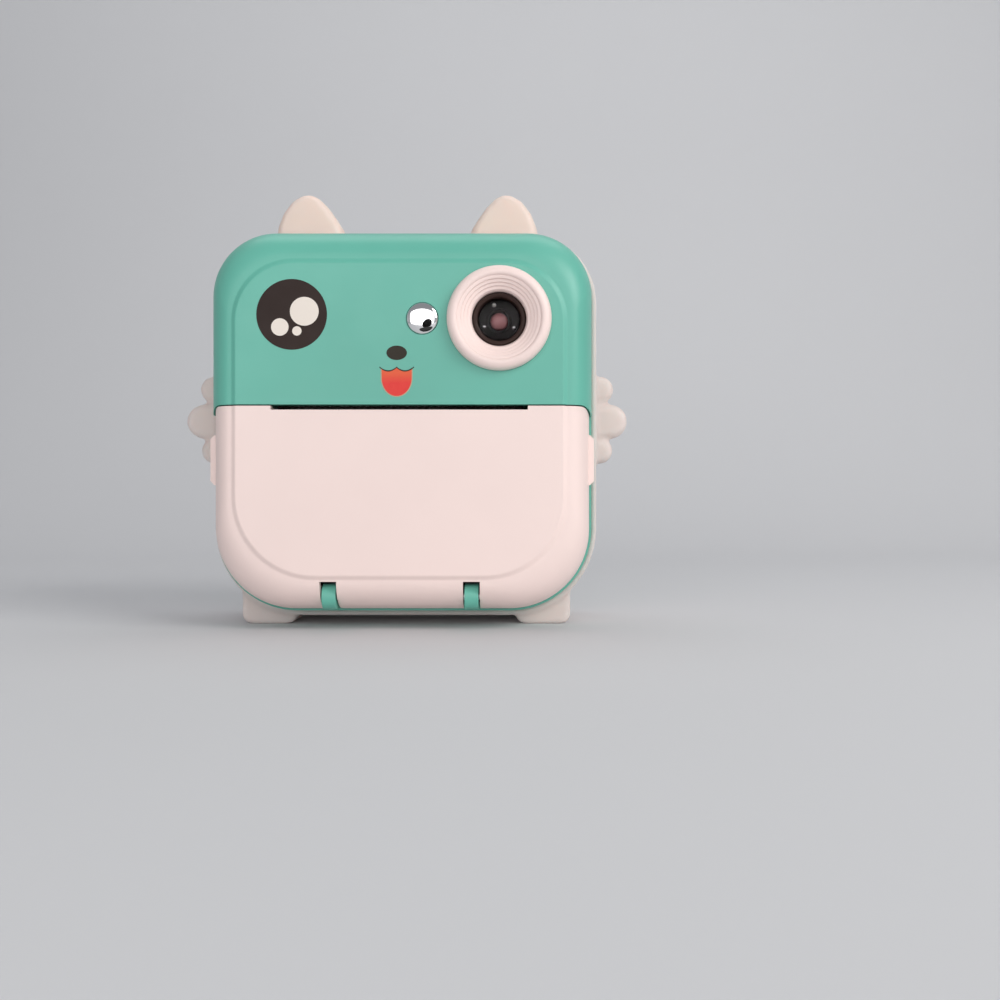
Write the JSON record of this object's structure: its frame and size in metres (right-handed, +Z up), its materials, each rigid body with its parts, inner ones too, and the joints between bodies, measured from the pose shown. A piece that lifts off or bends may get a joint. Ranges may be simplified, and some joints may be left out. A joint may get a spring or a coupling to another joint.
{
  "type": "kids instant-print camera",
  "caption": "Small square kids' instant-print camera with a cat face, drop-down paper door, thermal roll printer inside and a soft case with ears, wings and feet.",
  "frame": {"origin": "centre of the overall box at the level of the case's feet, which the camera stands on", "axes": "+Z up, -Y the way the lens and the door face, +X to the right when the camera is seen from the front"},
  "size_m": [0.1094, 0.05, 0.1067],
  "materials": {
    "teal_plastic": "satin moulded ABS",
    "white_plastic": "satin moulded ABS, warm white",
    "black_plastic": "moulded black plastic",
    "silicone": "milky translucent silicone rubber",
    "chrome": "polished convex mirror",
    "steel": "plated steel",
    "lens_glass": "coated optical glass",
    "platen_rubber": "ground rubber",
    "gear_nylon": "moulded nylon",
    "thermal_paper": "coated thermal paper",
    "core_plastic": "extruded plastic core",
    "circuit_board": "solder-masked board",
    "battery_wrap": "foil pouch with film wrap",
    "screen": "dark clear window over a display"
  },
  "bodies": {
    "camera": {"front_shell": "teal_plastic", "rear_shell": "teal_plastic", "lens_ring": "white_plastic", "lens_barrel": "black_plastic", "camera_module": "black_plastic", "paper_cradle": "black_plastic", "speaker": "black_plastic", "silicone_case": "silicone", "selfie_mirror": "chrome", "hinge_pin_left": "steel", "hinge_pin_right": "steel", "case_screw_1": "steel", "case_screw_2": "steel", "case_screw_3": "steel", "case_screw_4": "steel", "lens_screw_1": "steel", "lens_screw_2": "steel", "lens_screw_3": "steel", "idler_pin": "steel", "motor": "steel", "mech_frame": "steel", "head_pivot": "steel", "head_spring_left": "steel", "head_spring_right": "steel", "tear_bar": "steel", "usb_socket": "steel", "card_socket": "steel", "cover_glass": "lens_glass", "front_lens": "lens_glass", "main_board": "circuit_board", "switch_board": "circuit_board", "battery": "battery_wrap", "lcd_module": "screen", "screen_window": "screen"},
    "door": {"paper_door": "white_plastic", "platen_bush_left": "steel", "platen_bush_right": "steel"},
    "platen": {"platen_roller": "platen_rubber", "platen_shaft": "steel", "platen_gear": "gear_nylon"},
    "idler": {"idler_gear": "gear_nylon"},
    "pinion": {"motor_pinion": "gear_nylon", "motor_shaft": "steel"},
    "roll": {"paper_roll": "thermal_paper", "paper_core": "core_plastic"},
    "head": {"print_head": "steel"},
    "card": {"memory_card": "black_plastic"},
    "shutter": {"shutter_button": "teal_plastic"},
    "power": {"power_button": "teal_plastic"},
    "ok_key": {"ok_button": "white_plastic"},
    "up_key": {"up_button": "white_plastic"},
    "down_key": {"down_button": "white_plastic"},
    "left_key": {"left_button": "white_plastic"},
    "right_key": {"right_button": "white_plastic"},
    "menu_key": {"menu_button": "white_plastic"},
    "play_key": {"play_button": "white_plastic"}
  },
  "joints": [
    {"name": "door_hinge", "type": "hinge", "parent": "camera", "child": "door", "pos_m": [0, -0.0178, 0.008], "axis": [1, 0, 0], "range_deg": [0, 88]},
    {"name": "roll_spin", "type": "hinge", "parent": "camera", "child": "roll", "pos_m": [0, -0.0045, 0.026], "axis": [1, 0, 0], "continuous": true},
    {"name": "platen_spin", "type": "hinge", "parent": "door", "child": "platen", "pos_m": [0, -0.014, 0.0465], "axis": [1, 0, 0], "continuous": true},
    {"name": "idler_spin", "type": "hinge", "parent": "camera", "child": "idler", "pos_m": [0.033, -0.0035, 0.0465], "axis": [1, 0, 0], "continuous": true},
    {"name": "pinion_spin", "type": "hinge", "parent": "camera", "child": "pinion", "pos_m": [0.033, 0.00286, 0.05286], "axis": [1, 0, 0], "continuous": true},
    {"name": "head_tilt", "type": "hinge", "parent": "camera", "child": "head", "pos_m": [0, -0.0072, 0.0542], "axis": [1, 0, 0], "range_deg": [0, 2.5], "stiffness_Nm_per_rad": 0.5, "springref_deg": -2.86},
    {"name": "card_slide", "type": "slide", "parent": "camera", "child": "card", "axis": [-1, 0, 0], "range_m": [0, 0.014]},
    {"name": "shutter_press", "type": "slide", "parent": "camera", "child": "shutter", "axis": [0, 0, -1], "range_m": [0, 0.0008], "stiffness_N_per_m": 400, "springref_m": -0.0005},
    {"name": "power_press", "type": "slide", "parent": "camera", "child": "power", "axis": [0, 0, -1], "range_m": [0, 0.0008], "stiffness_N_per_m": 400, "springref_m": -0.0005},
    {"name": "ok_press", "type": "slide", "parent": "camera", "child": "ok_key", "axis": [0, -1, 0], "range_m": [0, 0.0008], "stiffness_N_per_m": 300, "springref_m": -0.0005},
    {"name": "up_press", "type": "slide", "parent": "camera", "child": "up_key", "axis": [0, -1, 0], "range_m": [0, 0.0008], "stiffness_N_per_m": 300, "springref_m": -0.0005},
    {"name": "down_press", "type": "slide", "parent": "camera", "child": "down_key", "axis": [0, -1, 0], "range_m": [0, 0.0008], "stiffness_N_per_m": 300, "springref_m": -0.0005},
    {"name": "left_press", "type": "slide", "parent": "camera", "child": "left_key", "axis": [0, -1, 0], "range_m": [0, 0.0008], "stiffness_N_per_m": 300, "springref_m": -0.0005},
    {"name": "right_press", "type": "slide", "parent": "camera", "child": "right_key", "axis": [0, -1, 0], "range_m": [0, 0.0008], "stiffness_N_per_m": 300, "springref_m": -0.0005},
    {"name": "menu_press", "type": "slide", "parent": "camera", "child": "menu_key", "axis": [0, -1, 0], "range_m": [0, 0.0008], "stiffness_N_per_m": 300, "springref_m": -0.0005},
    {"name": "play_press", "type": "slide", "parent": "camera", "child": "play_key", "axis": [0, -1, 0], "range_m": [0, 0.0008], "stiffness_N_per_m": 300, "springref_m": -0.0005}
  ],
  "couplings": [
    {"joint": "platen_spin", "follows": "roll_spin", "ratio": 3.75},
    {"joint": "idler_spin", "follows": "roll_spin", "ratio": -2.8125},
    {"joint": "pinion_spin", "follows": "roll_spin", "ratio": 5.625}
  ]
}
